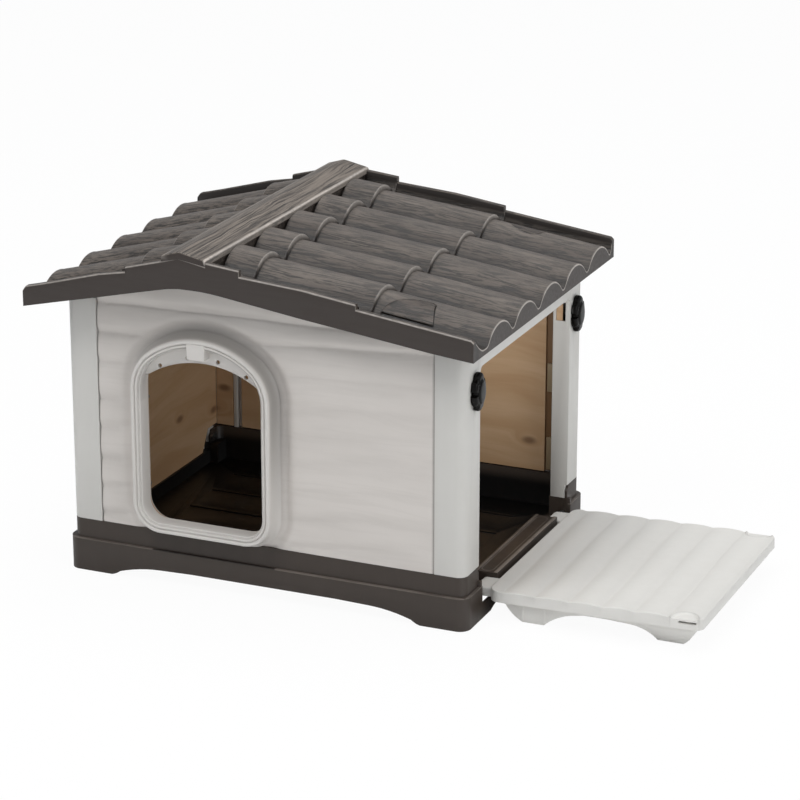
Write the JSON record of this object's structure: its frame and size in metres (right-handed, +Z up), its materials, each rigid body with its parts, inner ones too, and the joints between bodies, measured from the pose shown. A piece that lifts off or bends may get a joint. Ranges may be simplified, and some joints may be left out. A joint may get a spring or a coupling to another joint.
{
  "type": "dog house",
  "caption": "Plastic dog house with a gabled tile roof, an arched front door and a side panel that folds down on a hinge as a porch and is held shut by turn knobs.",
  "frame": {"origin": "middle of the whole object seen from above, with the porch folded down, on the ground plane", "axes": "+Z is up; -Y is the front with the arched door; +X is the side with the folded-down porch"},
  "size_m": [1.0461, 0.59, 0.5474],
  "materials": {
    "base_plastic": "dark brown moulded plastic, fine grain",
    "roof_plastic": "brown-grey moulded plastic with a drawn wood grain and worn light edges",
    "wall_plastic": "pale grey moulded plastic, rounded boards with a soft wood grain",
    "post_plastic": "pale grey moulded plastic, smooth",
    "frame_plastic": "pale grey moulded plastic, smooth satin",
    "porch_plastic": "off-white moulded plastic with fine grain",
    "pine_board": "knotty pine board, unvarnished",
    "black_plastic": "glossy black plastic",
    "steel": "plain zinc-plated steel"
  },
  "bodies": {
    "house": {"base_tray": "base_plastic", "drain_plug": "black_plastic", "corner_post_front_right": "post_plastic", "corner_post_back_right": "post_plastic", "corner_post_front_left": "post_plastic", "corner_post_back_left": "post_plastic", "post_screws": "steel", "header_rail": "post_plastic", "front_wall": "wall_plastic", "back_wall": "wall_plastic", "left_wall": "wall_plastic", "lining_front": "pine_board", "lining_back": "pine_board", "lining_left": "pine_board", "lining_corner_front": "pine_board", "lining_corner_back": "pine_board", "lining_clips": "post_plastic", "door_frame_outer": "frame_plastic", "door_frame_inner": "frame_plastic", "door_frame_screws": "steel", "roof_shell": "roof_plastic", "ridge_cap": "roof_plastic", "roof_cover_front": "roof_plastic", "roof_cover_back": "roof_plastic", "roof_screws": "steel", "hinge_pins": "steel"},
    "porch": {"porch_panel": "porch_plastic", "porch_underframe": "porch_plastic", "porch_screws": "steel"},
    "knob_front": {"latch_knob_front": "black_plastic", "latch_cam_front": "black_plastic", "latch_screw_front": "steel"},
    "knob_back": {"latch_knob_back": "black_plastic", "latch_cam_back": "black_plastic", "latch_screw_back": "steel"}
  },
  "joints": [
    {"name": "porch_hinge", "type": "hinge", "parent": "house", "child": "porch", "pos_m": [0.16735, 0, 0.036], "axis": [0, -1, 0], "range_deg": [0, 88.9]},
    {"name": "front_knob_turn", "type": "hinge", "parent": "house", "child": "knob_front", "pos_m": [0.182, -0.208, 0.364], "axis": [-1, 0, 0], "range_deg": [0, 90]},
    {"name": "back_knob_turn", "type": "hinge", "parent": "house", "child": "knob_back", "pos_m": [0.182, 0.208, 0.364], "axis": [1, 0, 0], "range_deg": [0, 90]}
  ]
}
